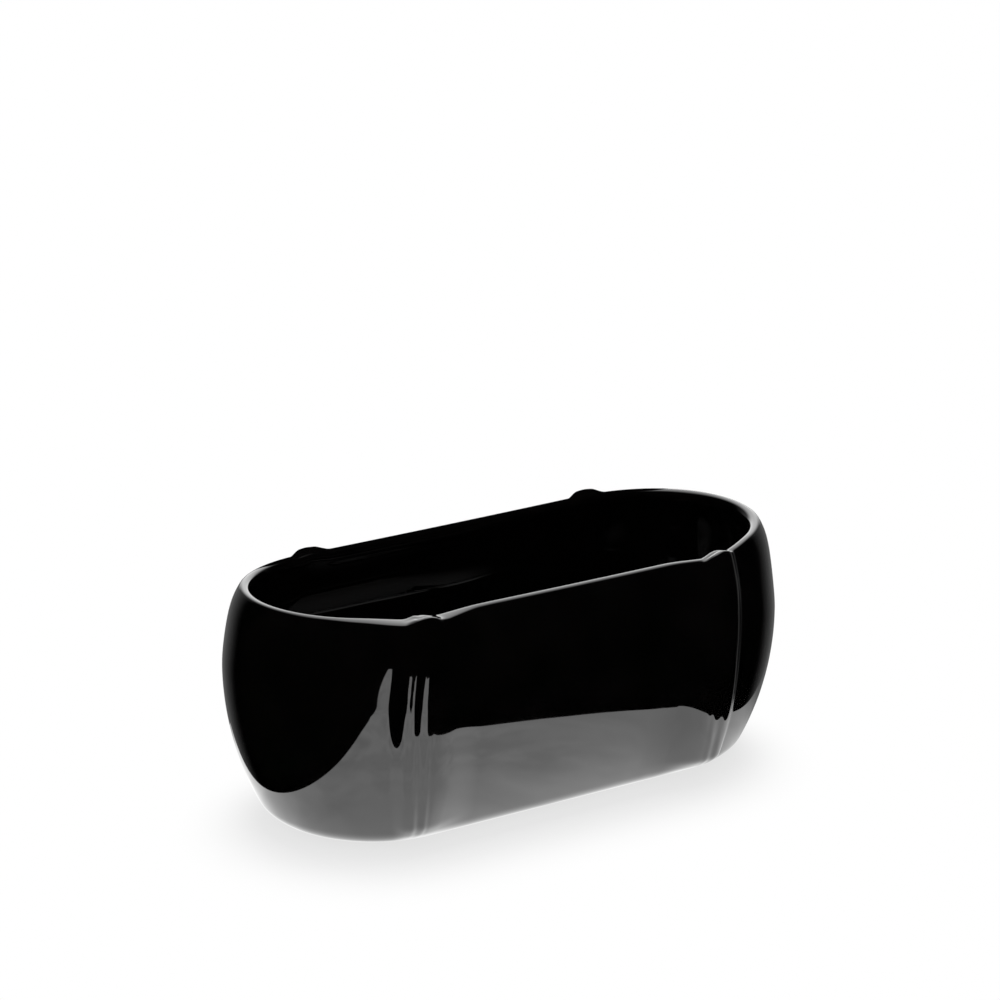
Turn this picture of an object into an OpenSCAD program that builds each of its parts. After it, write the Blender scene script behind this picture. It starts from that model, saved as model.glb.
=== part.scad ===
// Oval planter of black glazed ceramic: a slip-cast barrel-sided pot with
// straight long sides and round ends, four upright ribs luted to its wall
// and four soft pads under its foot ring. Millimetres, +Z up, front at -Y,
// standing on z = 0.

/* [Overall size] */

// Length over the round ends
length = 260; // [220:1:320]
// Width over the ribs
width = 140; // [120:1:170]
// Height of the rim above the table
rim_height = 101; // [88:1:125]

/* [Wall profile] */

// Height of the widest part of the wall above the table
belly_height = 65.5; // [58:0.5:70]
// How far the rim draws in from the widest part
rim_inset = 11.5; // [6:0.5:14]
// Radius of the wall below its widest part
lower_radius = 130; // [106:1:160]
// Radius that rolls the wall under into the base
heel_radius = 13.5; // [11:0.5:18]
// Thickness of the cast wall and floor
wall = 6; // [4.5:0.25:8]
// How far the rolled lip swells past the wall on each side
lip_swell = 0.2; // [0.1:0.05:0.5]

/* [Foot ring] */

// Width of the flat ring the pot stands on
foot_width = 14; // [12:0.5:18]
// Depth of the hollow inside the foot ring
foot_recess = 1.5; // [0.8:0.1:2.5]

/* [Ribs] */

// How far a rib stands out from the wall
rib_proud = 6.5; // [5:0.25:8]
// Radius of the hollow between rib and wall
cove_radius = 5; // [3:0.25:7]
// How far round an end each rib stands from the long side, in degrees
rib_turn = 6.5; // [3:0.5:12]
// How far the knob on a rib rises above the rim
knob_rise = 2.5; // [1.5:0.25:5]
// Height at which a rib melts into the wall
fade_height = 10; // [9.5:0.5:16]

/* [Pads] */

// Diameter of a pad
pad_diameter = 10; // [7:0.5:11]
// Thickness of a pad
pad_height = 1.5; // [1:0.1:2.5]
// Radius on the lower edge of a pad
pad_round = 0.6; // [0.3:0.1:0.9]

/* [Hidden] */

$fn = 96;

glaze_colour = [0.05, 0.05, 0.05];
pad_colour = [0.30, 0.30, 0.31];

// Rounds a size that faces meet on to a hundredth of a millimetre
function fine(size) = round(100 * size) / 100;

// Plan: a straight middle between two round ends
end_radius = fine((width / 2 - rib_proud) / cos(rib_turn));
end_x = length / 2 - end_radius;

// Profile: three tangent arcs in a plane through the axis of a round end
base_z = pad_height;
rim_run = rim_height - belly_height;
upper_radius = fine((rim_run * rim_run + rim_inset * rim_inset) / (2 * rim_inset));
heel_drop = belly_height - base_z - heel_radius;
heel_tilt = asin(heel_drop / (lower_radius - heel_radius));
heel_x = end_radius - lower_radius + (lower_radius - heel_radius) * cos(heel_tilt);
upper_centre = [end_radius - upper_radius, belly_height];
lower_centre = [end_radius - lower_radius, belly_height];
heel_centre = [heel_x, base_z + heel_radius];

// Lip: a full round on the middle line of the wall, a little thicker than it
lip_radius = wall / 2 + lip_swell;
lip_arc = upper_radius - wall / 2;
lip_tilt = asin((rim_height - lip_radius - belly_height) / lip_arc);
lip_centre = upper_centre + lip_arc * [cos(lip_tilt), sin(lip_tilt)];
fill_share = 0.9;
fill_x = lip_centre[0] - fill_share * lip_radius;
fill_rise = 2 * knob_rise;

// Rib: a bead on the wall line with a cove along each side down to the wall
cove_flat = sqrt(rib_proud * (rib_proud + 2 * cove_radius));
cove_sag = cove_flat * cove_flat / (2 * end_radius);
cove_rise = cove_radius - cove_sag;
cove_reach = rib_proud + cove_radius;
cove_x = sqrt(cove_reach * cove_reach - cove_rise * cove_rise);
cove_top = cove_rise * rib_proud / cove_reach;
feather = 0.6;
taper_gap = 0.3;
taper_radius = 2 * cove_radius;
rib_half = cove_x - sqrt(2 * cove_radius * feather);
root_share = 0.75;
rib_root = root_share * wall;

// Rib bend: one arc whose middle line is on the widest part at the peak and back
// on the wall at the knob, and whose outside melts into the wall at the fade height
knob_z = rim_height + knob_rise - rib_proud;
knob_run = knob_z - belly_height;
knob_inset = upper_radius - sqrt(upper_radius * upper_radius - knob_run * knob_run);
fade_run = belly_height - fade_height;
fade_inset = lower_radius - sqrt(lower_radius * lower_radius - fade_run * fade_run);
fade_drop = fade_inset + rib_proud;
fade_excess = fade_drop * (2 * rib_proud - fade_drop);
bend_share = 1 - knob_inset / fade_drop;
bend_span = knob_z - fade_height;
bend_square = bend_span * bend_span + knob_inset * knob_inset + fade_excess * (1 - bend_share);
rib_run = (bend_span - sqrt(bend_span * bend_span - bend_share * bend_square)) / bend_share;
rib_peak = fine(fade_height + rib_run);
rib_bend = fine((rib_run * rib_run - fade_excess) / (2 * fade_drop));
fade_over = 2;
fade_tilt = asin(rib_run / (rib_bend + rib_proud)) + fade_over * 180 / (PI * rib_bend);
knob_tilt = asin((knob_z - rib_peak) / rib_bend);

// Pads: under the middle of the foot ring where it meets the round ends
pad_y = heel_x - foot_width / 2;

// Part of a disc between two angles
module sector(radius, from, to) {
    reach = 2 * radius;
    middle = (from + to) / 2;
    intersection() {
        circle(r = radius);
        polygon([
            [0, 0],
            reach * [cos(from), sin(from)],
            reach * [cos(middle), sin(middle)],
            reach * [cos(to), sin(to)]
        ]);
    }
}

// Wall from its widest part up to the lip, with the full round of the lip
module upper_section() {
    translate(upper_centre)
        difference() {
            sector(upper_radius, 0, lip_tilt);
            circle(r = upper_radius - wall);
        }
    translate(lip_centre)
        circle(r = lip_radius);
}

// Filled half outline below the widest part, set in from the outside, its top raised
module lower_outline(inset, raised) {
    heel_top = fine(belly_height - (lower_radius - inset) * sin(heel_tilt));
    bottom = base_z + inset;
    intersection() {
        translate(lower_centre)
            circle(r = lower_radius - inset);
        translate([0, heel_top])
            square([end_radius, belly_height + raised - heel_top]);
    }
    intersection() {
        translate(heel_centre)
            circle(r = heel_radius - inset);
        translate([heel_x, bottom])
            square([heel_radius, heel_top - bottom]);
    }
    translate([0, bottom])
        square([heel_x, heel_top - bottom]);
}

// Half of the pot in section: wall, lip, floor and foot ring
module wall_section() {
    upper_section();
    difference() {
        lower_outline(0, 0);
        lower_outline(wall, 1);
        translate([0, base_z])
            square([heel_x - foot_width, foot_recess]);
    }
}

// Half outline with the hollow filled to above the lip, for what seats on the wall
module filled_section() {
    lower_outline(0, 0);
    intersection() {
        translate(upper_centre)
            sector(upper_radius, 0, lip_tilt);
        translate([0, belly_height])
            square([end_radius, rim_run]);
    }
    translate(lip_centre)
        circle(r = lip_radius);
    translate([0, belly_height])
        square([lip_centre[0], rim_run - lip_radius]);
    translate([0, belly_height])
        square([fill_x, rim_run + fill_rise]);
}

// Carries a half section round one end
module round_end() {
    translate([end_x, 0, 0])
        rotate([0, 0, -90])
            rotate_extrude(angle = 180)
                children();
}

// Carries a half section along one side
module long_side() {
    translate([-end_x, 0, 0])
        rotate([90, 0, 90])
            linear_extrude(2 * end_x)
                children();
}

module shell() {
    color(glaze_colour)
        for (side = [0, 1]) {
            mirror([side, 0, 0])
                round_end()
                    wall_section();
            mirror([0, side, 0])
                long_side()
                    wall_section();
        }
}

// Rib in section: a bead on the wall line, with a cove along each side
module rib_section() {
    intersection() {
        circle(r = rib_proud);
        translate([-rib_root, -rib_proud])
            square([rib_root + rib_proud, 2 * rib_proud]);
    }
    difference() {
        translate([-rib_root, -rib_half])
            square([rib_root + cove_top, 2 * rib_half]);
        for (side = [-1, 1])
            translate([cove_rise, side * cove_x])
                circle(r = cove_radius);
    }
}

// Rib lying flat, its bend running down from the knob: a bent length, whose coves
// taper out at the top, and a half ball
module bent_rib() {
    difference() {
        mirror([0, 1, 0])
            rotate_extrude(angle = knob_tilt + fade_tilt)
                translate([rib_bend, 0])
                    rib_section();
        for (side = [-1, 1])
            translate([rib_bend - 2 * rib_proud, 0, side * (rib_proud + taper_radius + taper_gap)])
                rotate([0, 90, 0])
                    cylinder(r = taper_radius, h = 4 * rib_proud);
    }
    translate([rib_bend, 0, 0])
        rotate([-90, 0, 0])
            rotate_extrude()
                intersection() {
                    circle(r = rib_proud);
                    square(rib_proud);
                }
}

// Rib stood upright against a round end, before it is cut to seat on the wall
module rib_blank() {
    translate([end_x, 0, rib_peak])
        rotate([0, 0, -rib_turn])
            translate([0, end_radius - rib_bend, 0])
                rotate([90, 0, 90])
                    rotate([0, 0, knob_tilt])
                        bent_rib();
}

// Rib cut to seat on the wall and over the lip
module rib(side, face) {
    color(glaze_colour)
        mirror([side, 0, 0])
            mirror([0, face, 0])
                difference() {
                    rib_blank();
                    round_end()
                        filled_section();
                    long_side()
                        filled_section();
                }
}

module rib_front_left() {
    rib(1, 1);
}

module rib_front_right() {
    rib(0, 1);
}

module rib_back_left() {
    rib(1, 0);
}

module rib_back_right() {
    rib(0, 0);
}

// Soft disc with a rounded lower edge, stuck under the foot ring
module pad(side, face) {
    color(pad_colour)
        translate([side * end_x, face * pad_y, 0])
            rotate_extrude() {
                square([pad_diameter / 2 - pad_round, pad_height]);
                translate([0, pad_round])
                    square([pad_diameter / 2, pad_height - pad_round]);
                translate([pad_diameter / 2 - pad_round, pad_round])
                    circle(r = pad_round);
            }
}

module pad_front_left() {
    pad(-1, -1);
}

module pad_front_right() {
    pad(1, -1);
}

module pad_back_left() {
    pad(-1, 1);
}

module pad_back_right() {
    pad(1, 1);
}

shell();
rib_front_left();
rib_front_right();
rib_back_left();
rib_back_right();
pad_front_left();
pad_front_right();
pad_back_left();
pad_back_right();
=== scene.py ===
"""Oval ceramic planter: one gloss black glaze over a slip-cast pot and its four ribs, on four soft pads."""

import math

import bmesh
import bpy
import numpy as np
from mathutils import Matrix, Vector


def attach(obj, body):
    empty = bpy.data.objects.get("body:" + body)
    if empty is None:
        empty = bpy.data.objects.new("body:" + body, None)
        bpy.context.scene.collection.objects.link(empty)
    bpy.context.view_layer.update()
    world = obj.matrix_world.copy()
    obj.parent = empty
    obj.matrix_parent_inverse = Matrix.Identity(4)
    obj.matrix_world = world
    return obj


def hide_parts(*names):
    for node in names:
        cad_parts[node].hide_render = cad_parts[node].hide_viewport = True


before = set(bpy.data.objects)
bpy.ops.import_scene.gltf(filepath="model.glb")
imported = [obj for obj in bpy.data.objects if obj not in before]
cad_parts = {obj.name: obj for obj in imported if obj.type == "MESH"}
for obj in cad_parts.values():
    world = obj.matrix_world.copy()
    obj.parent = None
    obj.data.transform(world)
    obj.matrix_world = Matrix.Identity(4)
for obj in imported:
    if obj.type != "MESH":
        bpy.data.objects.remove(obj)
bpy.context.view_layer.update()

MM = 0.001

# The pot in plan and in section, in millimetres, as the part has it
END_RADIUS = 63.91
END_X = 66.09
BASE_Z = 1.5
BELLY_Z = 65.5
UPPER_RADIUS = 60.54
LOWER_RADIUS = 130.0
HEEL_RADIUS = 13.5
WALL = 6.0
RIM_Z = 101.0
FOOT_WIDTH = 14.0
FOOT_RECESS = 1.5

# What follows from them
HEEL_TILT = math.asin((BELLY_Z - BASE_Z - HEEL_RADIUS) / (LOWER_RADIUS - HEEL_RADIUS))
HEEL_X = END_RADIUS - LOWER_RADIUS + (LOWER_RADIUS - HEEL_RADIUS) * math.cos(HEEL_TILT)
LIP_RADIUS = WALL / 2
LIP_TILT = math.asin((RIM_Z - LIP_RADIUS - BELLY_Z) / (UPPER_RADIUS - LIP_RADIUS))
LIP_Y = END_RADIUS - UPPER_RADIUS + (UPPER_RADIUS - LIP_RADIUS) * math.cos(LIP_TILT)
LIP_Z = RIM_Z - LIP_RADIUS

# How finely the skin is drawn: corners round the lip, rows down the wall's three arcs outside and inside,
# rows across the floor, degrees and steps round an end, and steps along a side, fine ones first
LIP_CORNERS = 40
OUTER_ROWS = (30, 44, 22)
INNER_ROWS = (16, 20, 12)
FLOOR_ROWS = 4
END_TURNS = ((32, 50), (58, 22))
FINE_STEPS = 26
FINE_STEP = 0.75
WIDE_STEPS = 7

# How near, in millimetres, corners count as in one place, as on one line and as one corner to merge, and the
# angle between faces up to which the skin looks smooth
SAME_PLACE = 0.05
ON_LINE = 0.01
MERGE = 0.005
SMOOTH_ANGLE = math.radians(40)

# A rib across, in millimetres: half of its flat top, its steep flank toward the round end, and its soft
# flank toward the straight side, up to the belly and at the rim
RIB_FLAT = 4.0
RIB_STEEP = 9.0
RIB_SOFT = 26.0
RIB_SOFT_TOP = 8.0
# the ripple across it: its length and, from the rib's middle, where one crest is, where it has gone and over
# what width it goes
RIPPLE_LENGTH = 5.8
RIPPLE_CREST = 2.6
RIPPLE_HALF = 6.8
RIPPLE_EDGE = 4.0

# A rib upward, in millimetres: the heights between which it rises out of the wall, the height where its bow
# is fullest and its lean starts, how far on the bow ends and the lean is full, and how far under the rim its
# ripple starts to fade
RIB_END_LOW = 3.0
RIB_END_HIGH = 14.0
BOW_Z = 58.0
BOW_REACH = 50.0
RIPPLE_FADE = 20.0
# as shares: how much of it sinks away at the rim, how outward the lip faces where it ends, and over how much
# of that it fades
RIB_SINK = 0.45
LIP_FADE = 0.3
LIP_FADE_SPAN = 0.5

# The rim at a rib, in millimetres: how far the knob and the dip that it stands in reach each way, and the
# heights between which they grow
KNOB_REACH = 11.0
DIP_REACH = 32.0
KNOB_LOW = 82.0
KNOB_FULL = 97.0
# the ledge that the lip spreads into: its reach toward the end and along the side, the height where it
# starts, how outward the lip faces where it is full, and how far from the rib's middle and over what width
# the lip stops going out whole
SPREAD_END = 50.0
SPREAD_SIDE = 30.0
SPREAD_LOW = 70.0
SPREAD_TURN = 0.9
WHOLE_HALF = 6.0
WHOLE_EDGE = 4.0

# Each rib by its side and face, in millimetres: how far round it stands from the straight side, how far its
# middle bows and its top leans that way, how far it stands out, how high its ripple is, how far the lip
# spreads beside it, how far its knob rises and how far the rim dips there
RIBS = {(-1, -1): dict(along=13.2, bow=2.6, lean=-8.0, proud=2.8, high=0.3, spread=3.6, knob=2.2, dip=1.5),
        (1, -1): dict(along=4.5, bow=-2.5, lean=11.0, proud=4.4, high=0.14, spread=0.0, knob=2.2, dip=1.9),
        (-1, 1): dict(along=2.0, bow=0.0, lean=0.0, proud=4.4, high=0.1, spread=0.0, knob=0.9, dip=0.0),
        (1, 1): dict(along=12.5, bow=0.0, lean=0.0, proud=4.4, high=0.1, spread=0.0, knob=0.9, dip=0.0)}

# How far the fired rim is out of true, in millimetres: its spread at the ends, how much more of that is at
# the right and less at the left, and its spread at the sides
FLARE_END = 4.4
FLARE_RIGHT = 0.8
FLARE_SIDE = -0.35
# its lift in the middle, toward both ends, to the right, to the front and in twist, the last four at LIFT_X
# along and LIFT_Y across
LIFT_MIDDLE = 0.8
LIFT_ENDS = 2.35
LIFT_RIGHT = 0.77
LIFT_FRONT = 0.85
LIFT_TWIST = 0.6
LIFT_X = 100.0
LIFT_Y = 50.0

# The bare ring that the pot stands on: how downward its faces are, and how near the base in millimetres
FOOT_FACING = -0.9
FOOT_NEAR = 0.1

# Camera, in degrees, millimetres and pixels: how far round and above it is, its distance, its focal length,
# and the pixel of the picture that the pot's middle falls on
CAMERA_AZIMUTH = math.radians(32.56)
AXIS_ELEVATION = math.radians(17.43)
AXIS_DISTANCE = 1290.3
FOCAL_PIXELS = 2964.2
POT_MIDDLE = Vector((0, 0, 50.0))
POT_PIXEL = (505.7, 666.8)
PICTURE_SIDE = 1000
SENSOR = 36.0

# Paper, in millimetres: the way from the shadow's middle line, which is nearer the camera, to the pot's own,
# how far from the shadow's line it starts to fade and has gone, and the share of plain white in it
SHADOW_SHIFT = (12.0, 18.0)
SHADOW_NEAR = 45.0
SHADOW_FAR = 88.0
SHADOW_SHARE = 0.72

# White card on the table, in millimetres: its height, its corners round from the front, and how far behind
# the pot's middle its shade starts and is full
CARD_Z = 0.4
CARD_CORNERS = ((-435, -1500), (-70, -178), (-16, -151), (52, -117), (83, -99), (157, -27), (205, 25),
                (150, 120), (-105, 115), (-124, 48), (-157, -74), (-205, -235), (-694, -1500))
SHADE_START = -20.0
SHADE_END = 80.0

# Black flag behind the far rim, in millimetres: its bend, its ends along the rim, its lower edge, its height
# and its lean
FLAG_RADIUS = 64.0
FLAG_LEFT = -112.0
FLAG_RIGHT = 140.0
FLAG_LOW = 95.0
FLAG_TALL = 23.0
FLAG_LEAN = 20.0

# Set, in metres and watts: floor, ball round the set and lamp, then the fill light as a share of plain white
FLOOR_SIDE = 12.0
SURROUND_RADIUS = 3.0
SOFTBOX_SIDE = 1.1
SOFTBOX_PLACE = (0.1, 0.15, 1.5)
SOFTBOX_WATTS = 17.0
SKY_FILL = 0.6


def linear(code):
    """An sRGB hex colour as linear RGBA."""
    parts = [int(code[i:i + 2], 16) / 255 for i in (1, 3, 5)]
    return [p / 12.92 if p <= 0.04045 else ((p + 0.055) / 1.055) ** 2.4 for p in parts] + [1.0]


def add(tree, kind, values=None, links=None, stops=(), **settings):
    """Adds a shader node with its settings, its sockets' values and links, and a ramp's colour stops."""
    node = tree.nodes.new(kind)
    for name, value in settings.items():
        setattr(node, name, value)
    for socket, value in (values or {}).items():
        node.inputs[socket].default_value = value
    for socket, (other, output) in (links or {}).items():
        tree.links.new(other.outputs[output], node.inputs[socket])
    for number, (position, code) in enumerate(stops):
        node.color_ramp.elements[number].position = position
        node.color_ramp.elements[number].color = linear(code)
    return node


def blank_material(name):
    """A node material with nothing in it."""
    material = bpy.data.materials.new(name)
    material.use_nodes = True
    material.node_tree.nodes.clear()
    return material


def start_piece(name):
    """Names the primitive just added and opens it in edit mode."""
    piece = bpy.context.object
    piece.name = name
    piece.data.name = name
    bpy.ops.object.mode_set(mode="EDIT")
    return piece


def pick(piece, test):
    """Selects just the corners that pass a test on their place in millimetres."""
    bpy.ops.mesh.select_mode(type="VERT")
    bpy.ops.mesh.select_all(action="DESELECT")
    mesh = bmesh.from_edit_mesh(piece.data)
    for corner in mesh.verts:
        corner.select_set(bool(test(corner.co / MM)))
    mesh.select_flush_mode()
    bmesh.update_edit_mesh(piece.data)


def turn(centre, angle, steps):
    """Spins what is selected down the section, about a centre given across and up."""
    bpy.ops.mesh.spin(steps=steps, angle=angle, axis=(1, 0, 0),
                      center=(END_X * MM, centre[0] * MM, centre[1] * MM))


def push(x, y, z):
    """Extrudes what is selected by millimetres."""
    bpy.ops.mesh.extrude_region_move(TRANSFORM_OT_translate={"value": (x * MM, y * MM, z * MM)})


def near(place, across, up):
    """Whether a corner is at a point of the section."""
    return abs(place.y - across) < SAME_PLACE and abs(place.z - up) < SAME_PLACE


def close_skin():
    """Merges the corners that meet and turns the faces outward."""
    bpy.ops.mesh.select_all(action="SELECT")
    bpy.ops.mesh.remove_doubles(threshold=MERGE * MM)
    bpy.ops.mesh.normals_make_consistent(inside=False)
    bpy.ops.object.mode_set(mode="OBJECT")


def draw_section(piece):
    """Draws wall and floor on from the lip, in the plane where the straight side meets the round end."""
    upper = (END_RADIUS - UPPER_RADIUS, BELLY_Z)
    lower = (END_RADIUS - LOWER_RADIUS, BELLY_Z)
    heel = (HEEL_X, BASE_Z + HEEL_RADIUS)
    level, steep = math.cos(LIP_TILT), math.sin(LIP_TILT)
    # the lower half of the lip's circle goes, and the wall's two faces run on from its ends
    pick(piece, lambda p: (p.z - LIP_Z) * level - (p.y - LIP_Y) * steep < -ON_LINE)
    bpy.ops.mesh.delete(type="VERT")
    for side, rows in ((1, OUTER_ROWS), (-1, INNER_ROWS)):
        end = (LIP_Y + side * LIP_RADIUS * level, LIP_Z + side * LIP_RADIUS * steep)
        pick(piece, lambda p: near(p, *end))
        turn(upper, LIP_TILT, rows[0])
        turn(lower, HEEL_TILT, rows[1])
        turn(heel, math.pi / 2 - HEEL_TILT, rows[2])
        reach = HEEL_X
        if side == 1:
            # the foot ring, and the step up into the hollow inside it
            push(0, -FOOT_WIDTH / 2, 0)
            push(0, -FOOT_WIDTH / 2, 0)
            push(0, 0, FOOT_RECESS)
            reach = HEEL_X - FOOT_WIDTH
        for part in range(FLOOR_ROWS):
            push(0, -reach / FLOOR_ROWS, 0)


def ease(value):
    """Goes softly from 0 to 1."""
    value = np.clip(value, 0, 1)
    return value ** 2 * (3 - 2 * value)


def corner_places(piece):
    """The places of a piece's corners in millimetres."""
    return np.array([corner.co for corner in piece.data.vertices]) / MM


def outward_way(places):
    """How much the way out from the pot's middle line runs lengthways and crossways, at each corner."""
    x, y, _ = places.T
    out_x = np.sign(x) * np.maximum(np.abs(x) - END_X, 0)
    reach = np.maximum(np.hypot(out_x, y), 1.0)
    return out_x / reach, y / reach


def rib_heights(places, normals, along, bow, lean, proud, high, spread, knob, dip):
    """How far each corner swells to its rib, spreads with the lip and rises to the knob.

    The corners are folded to one quarter. The rib is steep toward the round end, soft toward the side."""
    x, _, z = places.T
    way_x, way_y = outward_way(places)
    round_by = END_RADIUS * np.arctan2(way_x, way_y) + np.minimum(x - END_X, 0)
    rise = (z - BOW_Z) / BOW_REACH
    beside = round_by - along - bow * np.maximum(1 - rise ** 2, 0) - lean * np.maximum(rise, 0) ** 2
    off = np.abs(beside)
    up = ease((z - BELLY_Z) / (RIM_Z - BELLY_Z))
    slope = np.where(beside > 0, RIB_STEEP, RIB_SOFT + (RIB_SOFT_TOP - RIB_SOFT) * up)
    out = proud * ease(1 - (off - RIB_FLAT) / slope) * (1 - RIB_SINK * up)
    ripple = high * np.cos(2 * math.pi * (beside - RIPPLE_CREST) / RIPPLE_LENGTH)
    out += ripple * ease((RIPPLE_HALF - off) / RIPPLE_EDGE) * ease((RIM_Z - z) / RIPPLE_FADE)
    # it ends at the lip and melts into the wall at the foot
    outward = normals[:, 0] * way_x + normals[:, 1] * way_y
    out *= ease((outward - LIP_FADE) / LIP_FADE_SPAN)
    out *= ease((z - RIB_END_LOW) / (RIB_END_HIGH - RIB_END_LOW))
    # beside the rib the lip spreads into a ledge, and at the rib it goes out whole
    reach = np.where(beside > 0, SPREAD_END, SPREAD_SIDE)
    ledge = spread * ease(1 - off / reach) * ease((z - SPREAD_LOW) / (LIP_Z - SPREAD_LOW))
    ledge *= ease(outward / SPREAD_TURN + ease((WHOLE_HALF - off) / WHOLE_EDGE))
    raised = knob * ease(1 - off / KNOB_REACH) - dip * ease(1 - off / DIP_REACH)
    return out, ledge, raised * ease((z - KNOB_LOW) / (KNOB_FULL - KNOB_LOW))


def swell(piece, heights, direction):
    """Moves each corner by its height in millimetres, with weighted Displace modifiers for out and in."""
    least = 0.001
    for sign in (1, -1):
        amount = np.maximum(sign * heights, 0)
        most = float(amount.max())
        if most < least:
            continue
        group = piece.vertex_groups.new(name="swell")
        for index in np.nonzero(amount > least)[0]:
            group.add([int(index)], float(amount[index] / most), "REPLACE")
        modifier = piece.modifiers.new("swell", "DISPLACE")
        modifier.vertex_group = group.name
        modifier.direction = direction
        modifier.mid_level = 0
        modifier.strength = sign * most * MM
        bpy.ops.object.modifier_apply(modifier=modifier.name)
        piece.vertex_groups.remove(piece.vertex_groups["swell"])


def raise_ribs(piece):
    """Swells the four ribs out of the wall, spreads the lip beside them and raises their knobs."""
    places = corner_places(piece)
    normals = np.array([corner.normal for corner in piece.data.vertices])
    out, ledge, up = np.zeros((3, len(places)))
    for (side, face), shape in RIBS.items():
        fold = np.array((side, face, 1))
        here = (side * places[:, 0] > 0) & (face * places[:, 1] > 0)
        out[here], ledge[here], up[here] = rib_heights(places[here] * fold, normals[here] * fold, **shape)
    way_x, way_y = outward_way(places)
    swell(piece, out, "NORMAL")
    swell(piece, ledge * way_x, "X")
    swell(piece, ledge * way_y, "Y")
    swell(piece, up, "Z")


def warp_rim(piece):
    """Puts the rim out of true as the kiln did."""
    places = corner_places(piece)
    x, y, z = places.T
    share = ease((z - BELLY_Z) / (RIM_Z - BELLY_Z))
    way_x, way_y = outward_way(places)
    ends = (FLARE_END - FLARE_SIDE + FLARE_RIGHT * np.sign(x)) * way_x ** 2
    flare = share * (FLARE_SIDE + ends * share)
    swell(piece, flare * way_x, "X")
    swell(piece, flare * way_y, "Y")
    lift = LIFT_MIDDLE * np.maximum(1 - (x / END_X) ** 2, 0) + LIFT_ENDS * (x / LIFT_X) ** 2
    lift += LIFT_RIGHT * x / LIFT_X - LIFT_FRONT * y / LIFT_Y + LIFT_TWIST * x * y / (LIFT_X * LIFT_Y)
    swell(piece, share * lift, "Z")


def make_body():
    """Pot and ribs in one glazed skin: a quarter is spun, extruded and mirrored, and the ribs swell out."""
    bpy.ops.object.select_all(action="DESELECT")
    lip = Vector((END_X, LIP_Y, LIP_Z)) * MM
    bpy.ops.mesh.primitive_circle_add(vertices=LIP_CORNERS, radius=LIP_RADIUS * MM, location=lip,
                                      rotation=(0, math.pi / 2, 0))
    bpy.ops.object.transform_apply(location=True, rotation=True, scale=True)
    piece = start_piece("glazed_body")
    bpy.ops.transform.rotate(value=-LIP_TILT, orient_axis="X", center_override=lip)
    draw_section(piece)
    # round end: fine steps past the rib, then wider ones
    bpy.ops.mesh.select_all(action="SELECT")
    for angle, steps in END_TURNS:
        bpy.ops.mesh.spin(steps=steps, angle=math.radians(angle), axis=(0, 0, 1), center=(END_X * MM, 0, 0))
    # straight side: fine steps beside the rib, then wider ones to the middle
    pick(piece, lambda p: p.x < END_X + ON_LINE and p.y > -ON_LINE)
    for step in range(FINE_STEPS):
        push(-FINE_STEP, 0, 0)
    for step in range(WIDE_STEPS):
        push(-(END_X - FINE_STEPS * FINE_STEP) / WIDE_STEPS, 0, 0)
    close_skin()
    mirror = piece.modifiers.new("sides", "MIRROR")
    mirror.use_axis = (True, True, False)
    mirror.merge_threshold = MERGE * MM
    bpy.ops.object.modifier_apply(modifier=mirror.name)
    bpy.ops.object.mode_set(mode="EDIT")
    close_skin()
    raise_ribs(piece)
    warp_rim(piece)
    bpy.ops.object.shade_smooth_by_angle(angle=SMOOTH_ANGLE)
    return piece


def black_glaze():
    """Gloss black glaze fired over cast stoneware: a thick glassy coat, slow waves and a hint of warmth."""
    material = blank_material("gloss_black_glaze_fired_on_stoneware")
    tree = material.node_tree
    place = add(tree, "ShaderNodeTexCoord")
    # slow waves of the melted coat, about 25 mm long and a few hundredths high
    waves = add(tree, "ShaderNodeTexNoise", {"Scale": 1 / (25 * MM), "Detail": 1.0, "Roughness": 0.4},
                {"Vector": (place, "Object")})
    # cloudy tone where the coat is thinner, about 18 mm across
    cloud = add(tree, "ShaderNodeTexNoise", {"Scale": 1 / (18 * MM), "Detail": 3.0},
                {"Vector": (place, "Object")})
    tone = add(tree, "ShaderNodeValToRGB", None, {"Fac": (cloud, "Fac")},
               stops=((0.35, "#020202"), (0.75, "#060505")))
    matt = add(tree, "ShaderNodeMapRange",
               {"From Min": 0.3, "From Max": 0.7, "To Min": 0.03, "To Max": 0.06}, {"Value": (cloud, "Fac")})
    bump = add(tree, "ShaderNodeBump", {"Strength": 1.0, "Distance": 0.05 * MM}, {"Height": (waves, "Fac")})
    glaze = add(tree, "ShaderNodeBsdfPrincipled",
                {"IOR": 1.52, "Coat Weight": 1.0, "Coat Roughness": 0.02, "Coat IOR": 1.6},
                {"Base Color": (tone, "Color"), "Roughness": (matt, "Result"), "Normal": (bump, "Normal"),
                 "Coat Normal": (bump, "Normal")})
    add(tree, "ShaderNodeOutputMaterial", None, {"Surface": (glaze, "BSDF")})
    return material


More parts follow.
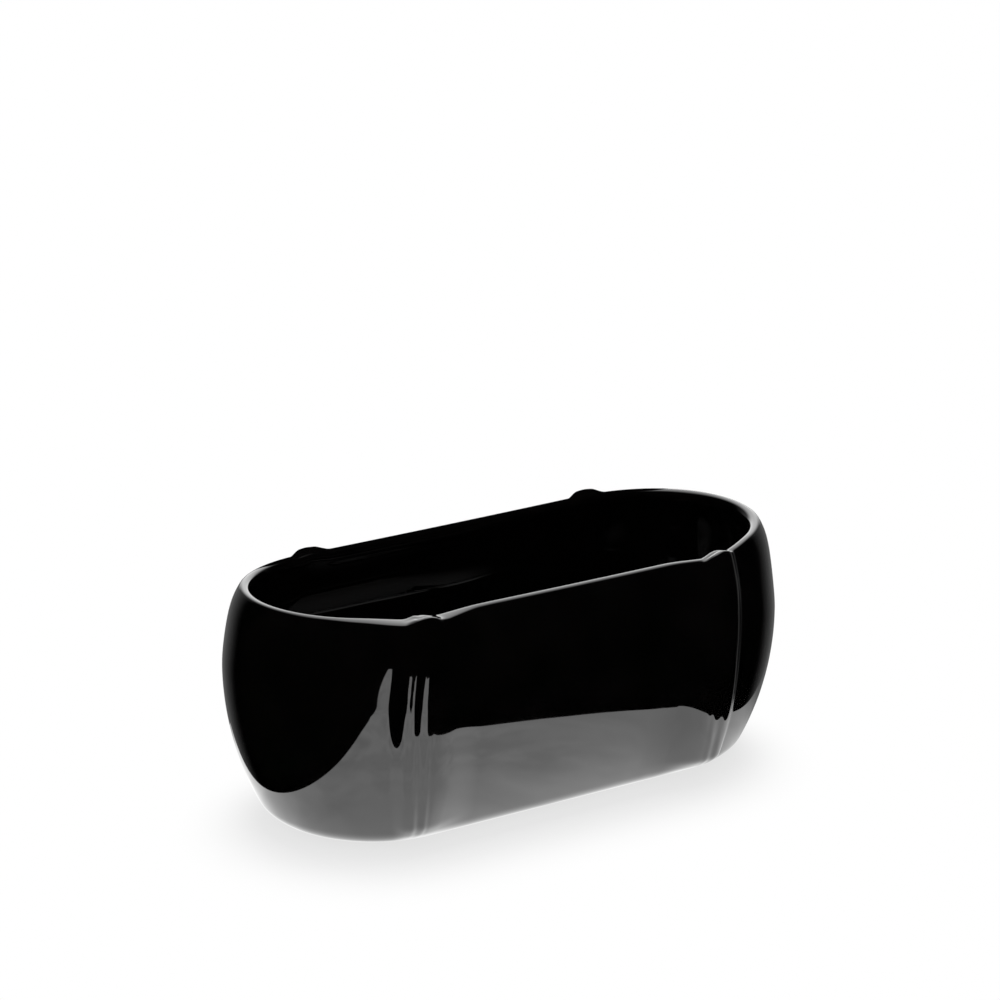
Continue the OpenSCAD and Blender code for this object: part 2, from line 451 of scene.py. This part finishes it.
def bare_clay():
    """Bare fired stoneware, wiped clean of glaze: matt, pale and a little gritty."""
    material = blank_material("bare_fired_stoneware")
    tree = material.node_tree
    place = add(tree, "ShaderNodeTexCoord")
    # grit about 0.8 mm across, and stains about 9 mm across
    grit = add(tree, "ShaderNodeTexNoise", {"Scale": 1 / (0.8 * MM), "Detail": 2.0},
               {"Vector": (place, "Object")})
    stain = add(tree, "ShaderNodeTexNoise", {"Scale": 1 / (9 * MM), "Detail": 3.0},
                {"Vector": (place, "Object")})
    tone = add(tree, "ShaderNodeValToRGB", None, {"Fac": (stain, "Fac")},
               stops=((0.3, "#a99c8a"), (0.7, "#c9beac")))
    bump = add(tree, "ShaderNodeBump", {"Strength": 0.6, "Distance": 0.08 * MM}, {"Height": (grit, "Fac")})
    clay = add(tree, "ShaderNodeBsdfPrincipled", {"Roughness": 0.85, "IOR": 1.5},
               {"Base Color": (tone, "Color"), "Normal": (bump, "Normal")})
    add(tree, "ShaderNodeOutputMaterial", None, {"Surface": (clay, "BSDF")})
    return material


def pad_rubber():
    """Moulded black rubber: dull, with a fine pebble and paler dust in it."""
    material = blank_material("moulded_black_rubber")
    tree = material.node_tree
    place = add(tree, "ShaderNodeTexCoord")
    # pebble about 0.5 mm across, and dust in patches of about 2 mm
    pebble = add(tree, "ShaderNodeTexVoronoi", {"Scale": 1 / (0.5 * MM)}, {"Vector": (place, "Object")})
    dust = add(tree, "ShaderNodeTexNoise", {"Scale": 1 / (2 * MM), "Detail": 3.0},
               {"Vector": (place, "Object")})
    tone = add(tree, "ShaderNodeValToRGB", None, {"Fac": (dust, "Fac")},
               stops=((0.4, "#1a1a1b"), (0.8, "#333334")))
    bump = add(tree, "ShaderNodeBump", {"Strength": 0.5, "Distance": 0.05 * MM},
               {"Height": (pebble, "Distance")})
    rubber = add(tree, "ShaderNodeBsdfPrincipled", {"Roughness": 0.7, "IOR": 1.52},
                 {"Base Color": (tone, "Color"), "Normal": (bump, "Normal")})
    add(tree, "ShaderNodeOutputMaterial", None, {"Surface": (rubber, "BSDF")})
    return material


def glaze_body(body):
    """Glaze all over, and bare clay on the ring that the pot stands on."""
    body.data.materials.append(black_glaze())
    body.data.materials.append(bare_clay())
    for face in body.data.polygons:
        if face.normal.z < FOOT_FACING and abs(face.center.z / MM - BASE_Z) < FOOT_NEAR:
            face.material_index = 1


def make_camera():
    """Camera at the photograph's viewing angle."""
    back = Vector((-math.sin(CAMERA_AZIMUTH) * math.cos(AXIS_ELEVATION),
                   -math.cos(CAMERA_AZIMUTH) * math.cos(AXIS_ELEVATION), math.sin(AXIS_ELEVATION)))
    right = Vector((math.cos(CAMERA_AZIMUTH), -math.sin(CAMERA_AZIMUTH), 0))
    up = back.cross(right)
    aside = (POT_PIXEL[0] - PICTURE_SIDE / 2) / FOCAL_PIXELS
    above = (POT_PIXEL[1] - PICTURE_SIDE / 2) / FOCAL_PIXELS
    lens = bpy.data.cameras.new("camera")
    lens.sensor_width = SENSOR
    lens.lens = FOCAL_PIXELS * SENSOR / PICTURE_SIDE
    camera = bpy.data.objects.new("camera", lens)
    camera.location = (POT_MIDDLE + AXIS_DISTANCE * (back - aside * right + above * up)) * MM
    camera.rotation_euler = back.to_track_quat("Z", "Y").to_euler()
    bpy.context.collection.objects.link(camera)
    bpy.context.scene.camera = camera


def seen_rays(tree):
    """1 for rays from the camera, for reflections and for light through glass: all show the same white."""
    rays = add(tree, "ShaderNodeLightPath")
    both = add(tree, "ShaderNodeMath", None, {0: (rays, "Is Camera Ray"), 1: (rays, "Is Glossy Ray")},
               operation="ADD")
    return add(tree, "ShaderNodeMath", None, {0: (both, "Value"), 1: (rays, "Is Transmission Ray")},
               operation="ADD", use_clamp=True)


def white_paper():
    """Matt white paper that keeps the pot's shadow near by and goes to plain white further off."""
    material = blank_material("matt_white_paper")
    tree = material.node_tree
    seen = seen_rays(tree)
    place = add(tree, "ShaderNodeTexCoord")
    # how far from the shadow's middle line
    shifted = add(tree, "ShaderNodeVectorMath", {1: (SHADOW_SHIFT[0] * MM, SHADOW_SHIFT[1] * MM, 0)},
                  {0: (place, "Object")}, operation="ADD")
    split = add(tree, "ShaderNodeSeparateXYZ", None, {0: (shifted, "Vector")})
    inside = add(tree, "ShaderNodeClamp", {"Min": -END_X * MM, "Max": END_X * MM}, {"Value": (split, "X")})
    spine = add(tree, "ShaderNodeCombineXYZ", None, {"X": (inside, "Result")})
    far = add(tree, "ShaderNodeVectorMath", None, {0: (shifted, "Vector"), 1: (spine, "Vector")},
              operation="DISTANCE")
    share = add(tree, "ShaderNodeMapRange",
                {"From Min": SHADOW_NEAR * MM, "From Max": SHADOW_FAR * MM,
                 "To Min": SHADOW_SHARE, "To Max": 1.0},
                {"Value": (far, "Value")}, interpolation_type="SMOOTHSTEP")
    glow = add(tree, "ShaderNodeMath", None, {0: (share, "Result"), 1: (seen, "Value")},
               operation="MULTIPLY")
    paper = add(tree, "ShaderNodeBsdfDiffuse", {"Color": linear("#f2f2f2")})
    white = add(tree, "ShaderNodeEmission", {"Color": linear("#ffffff"), "Strength": 1.0})
    mixed = add(tree, "ShaderNodeMixShader", None,
                {0: (glow, "Value"), 1: (paper, "BSDF"), 2: (white, "Emission")})
    add(tree, "ShaderNodeOutputMaterial", None, {"Surface": (mixed, "Shader")})
    return material


def way_toward(aside, rise):
    """The way to a place so many degrees aside of the camera's own way and above the table."""
    heading = CAMERA_AZIMUTH + math.radians(aside)
    tilt = math.radians(rise)
    return math.sin(heading) * math.cos(tilt), math.cos(heading) * math.cos(tilt), math.sin(tilt)


def soft_light():
    """What the glaze sees round the set: dark, with a soft strip of light behind the pot and a dim glow."""
    material = blank_material("soft_light_on_dark_cloth")
    tree = material.node_tree
    place = add(tree, "ShaderNodeTexCoord")
    way = add(tree, "ShaderNodeVectorMath", None, {0: (place, "Object")}, operation="NORMALIZE")
    # how much a way points aside of the pot, over its far rim, straight up, and level behind it
    facing = {}
    for name, goal in (("strip", way_toward(90, 0)), ("over", way_toward(0, 18)),
                       ("above", way_toward(0, 90)), ("glow", way_toward(0, 0))):
        facing[name] = add(tree, "ShaderNodeVectorMath", {1: goal}, {0: (way, "Vector")},
                           operation="DOT_PRODUCT")
    # the strip is the same on both sides
    facing["strip"] = add(tree, "ShaderNodeMath", None, {0: (facing["strip"], "Value")},
                          operation="ABSOLUTE")
    # each soft edge: where its light starts, where it is full and how bright it is there
    soft = {}
    for name, start, full, bright in (("strip", 0.55, 0.15, 1.0), ("over", 0.2, 0.65, 1.3),
                                      ("above", -0.12, 0.05, 1.0), ("glow", 0.5, 0.95, 0.13)):
        soft[name] = add(tree, "ShaderNodeMapRange", {"From Min": start, "From Max": full, "To Max": bright},
                         {"Value": (facing[name], "Value")}, interpolation_type="SMOOTHSTEP")
    light = add(tree, "ShaderNodeMath", None, {0: (soft["strip"], "Result"), 1: (soft["over"], "Result")},
                operation="MULTIPLY")
    light = add(tree, "ShaderNodeMath", None, {0: (light, "Value"), 1: (soft["above"], "Result")},
                operation="MULTIPLY")
    both = add(tree, "ShaderNodeMath", None, {0: (light, "Value"), 1: (soft["glow"], "Result")},
               operation="MAXIMUM")
    cloth = add(tree, "ShaderNodeEmission", {"Color": linear("#ffffff")}, {"Strength": (both, "Value")})
    add(tree, "ShaderNodeOutputMaterial", None, {"Surface": (cloth, "Emission")})
    return material


def white_card():
    """White card under the pot as the glaze sees it, glowing: painted reflection with painted crease shading.
    """
    material = blank_material("white_card_painted_reflection")
    tree = material.node_tree
    place = add(tree, "ShaderNodeTexCoord")
    # painted light and shade of creases about 60 mm apart, brightening and dimming the glow
    crease_painted_shading = add(tree, "ShaderNodeTexNoise", {"Scale": 1 / (60 * MM), "Detail": 2.0, "Distortion": 1.5},
                 {"Vector": (place, "Object")})
    level = add(tree, "ShaderNodeMapRange",
                {"From Min": 0.3, "From Max": 0.7, "To Min": 0.95, "To Max": 1.2},
                {"Value": (crease_painted_shading, "Fac")})
    # the pot's own shade dims it behind
    behind = add(tree, "ShaderNodeVectorMath", {1: way_toward(0, 0)}, {0: (place, "Object")},
                 operation="DOT_PRODUCT")
    shade = add(tree, "ShaderNodeMapRange",
                {"From Min": SHADE_START * MM, "From Max": SHADE_END * MM, "To Min": 1.0, "To Max": 0.12},
                {"Value": (behind, "Value")}, interpolation_type="SMOOTHSTEP")
    level = add(tree, "ShaderNodeMath", None, {0: (level, "Result"), 1: (shade, "Result")},
                operation="MULTIPLY")
    # the glow is a painted reflection of the lit table, with the pot's painted shade behind it
    card = add(tree, "ShaderNodeEmission", {"Color": linear("#ffffff")}, {"Strength": (level, "Value")})
    add(tree, "ShaderNodeOutputMaterial", None, {"Surface": (card, "Emission")})
    return material


def black_cloth():
    """Dull black cloth, which takes up the light."""
    material = blank_material("dull_black_cloth")
    tree = material.node_tree
    cloth = add(tree, "ShaderNodeBsdfDiffuse", {"Color": linear("#000000")})
    add(tree, "ShaderNodeOutputMaterial", None, {"Surface": (cloth, "BSDF")})
    return material


def only_reflected(prop):
    """Leaves a prop of the set to be seen in the glaze and nowhere else."""
    prop.visible_camera = False
    prop.visible_diffuse = False
    prop.visible_shadow = False
    prop.visible_transmission = False
    prop.visible_volume_scatter = False


def make_floor():
    """White floor, which the glaze doesn't reflect."""
    bpy.ops.mesh.primitive_plane_add(size=FLOOR_SIDE)
    floor = bpy.context.object
    floor.name = "floor"
    floor.data.materials.append(white_paper())
    floor.visible_glossy = False


def make_card():
    """White card on the table, whose outline is the edge between light and dark on the wall."""
    bpy.ops.mesh.primitive_circle_add(vertices=len(CARD_CORNERS), fill_type="NGON", location=(0, 0, 0))
    card = bpy.context.object
    card.name = "card"
    for corner, (x, y) in zip(card.data.vertices, CARD_CORNERS):
        corner.co = (x * MM, y * MM, CARD_Z * MM)
    card.data.materials.append(white_card())
    only_reflected(card)


def make_surround():
    """Ball round the set, dark but for the soft light on it."""
    bpy.ops.mesh.primitive_uv_sphere_add(segments=96, ring_count=48, radius=SURROUND_RADIUS)
    surround = bpy.context.object
    surround.name = "surround"
    bpy.ops.object.shade_smooth()
    surround.data.materials.append(soft_light())
    only_reflected(surround)


def make_flag():
    """Black flag bent round the far rim, leaning over it and lower at its ends, to keep light off the lip."""
    bpy.ops.mesh.primitive_grid_add(x_subdivisions=48, y_subdivisions=1, size=1)
    flag = bpy.context.object
    flag.name = "flag"
    for corner in flag.data.vertices:
        across = 2 * corner.co.x
        along = (FLAG_LEFT + FLAG_RIGHT) / 2 + across * (FLAG_RIGHT - FLAG_LEFT) / 2
        straight = min(max(along, -END_X), END_X)
        bent = (along - straight) / FLAG_RADIUS
        share = 1 - across ** 4 if corner.co.y > 0 else 0
        reach = FLAG_RADIUS - FLAG_LEAN * share
        corner.co = ((straight + reach * math.sin(bent)) * MM, reach * math.cos(bent) * MM,
                     (FLAG_LOW + FLAG_TALL * share) * MM)
    flag.data.materials.append(black_cloth())
    only_reflected(flag)


def make_softbox():
    """Large lamp overhead, for the shadow on the floor."""
    lamp = bpy.data.lights.new("softbox", "AREA")
    lamp.shape = "SQUARE"
    lamp.size = SOFTBOX_SIDE
    lamp.energy = SOFTBOX_WATTS
    softbox = bpy.data.objects.new("softbox", lamp)
    softbox.location = SOFTBOX_PLACE
    softbox.visible_glossy = False
    bpy.context.collection.objects.link(softbox)


def make_world():
    """Plain white studio, a little dimmer as a fill light than as it is seen."""
    world = bpy.data.worlds.new("studio")
    bpy.context.scene.world = world
    world.use_nodes = True
    tree = world.node_tree
    tree.nodes.clear()
    seen = seen_rays(tree)
    level = add(tree, "ShaderNodeMapRange", {"To Min": SKY_FILL, "To Max": 1.0}, {"Value": (seen, "Value")})
    sky = add(tree, "ShaderNodeBackground", {"Color": linear("#ffffff")}, {"Strength": (level, "Result")})
    add(tree, "ShaderNodeOutputWorld", None, {"Surface": (sky, "Background")})


def make_stage():
    """Floor, what the glaze reflects, lamp and studio."""
    bpy.ops.object.select_all(action="DESELECT")
    make_floor()
    make_card()
    make_surround()
    make_flag()
    make_softbox()
    make_world()


make_camera()
make_stage()

body = make_body()
glaze_body(body)
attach(body, "root")
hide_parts("shell", "rib_front_left", "rib_front_right", "rib_back_left", "rib_back_right")

rubber = pad_rubber()
for name in ("pad_front_left", "pad_front_right", "pad_back_left", "pad_back_right"):
    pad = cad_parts[name]
    pad.data.materials.clear()
    pad.data.materials.append(rubber)

bpy.context.scene.view_settings.view_transform = "Standard"
